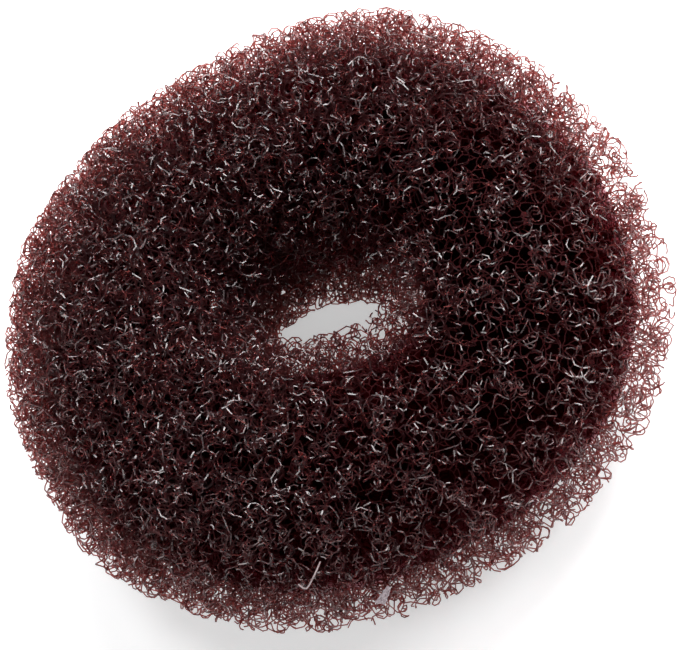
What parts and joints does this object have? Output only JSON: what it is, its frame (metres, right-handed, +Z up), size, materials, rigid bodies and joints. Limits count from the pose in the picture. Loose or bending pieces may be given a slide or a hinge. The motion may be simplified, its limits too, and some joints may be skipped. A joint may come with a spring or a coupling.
{
  "type": "hair donut bun maker",
  "caption": "Soft ring rolled from curly nylon net; a ponytail goes up through its hole and is wrapped over it to fill out a bun.",
  "frame": {"origin": "middle of the bounding box at its lowest face, the flat foot that the ring rests on", "axes": "+Z up through the hole; +X and +Y across the ring"},
  "size_m": [0.0892, 0.0886, 0.0347],
  "materials": {
    "net": "loose dark wine-brown curls of shiny nylon filament"
  },
  "bodies": {
    "root": {"net_ring": "net"}
  },
  "joints": []
}
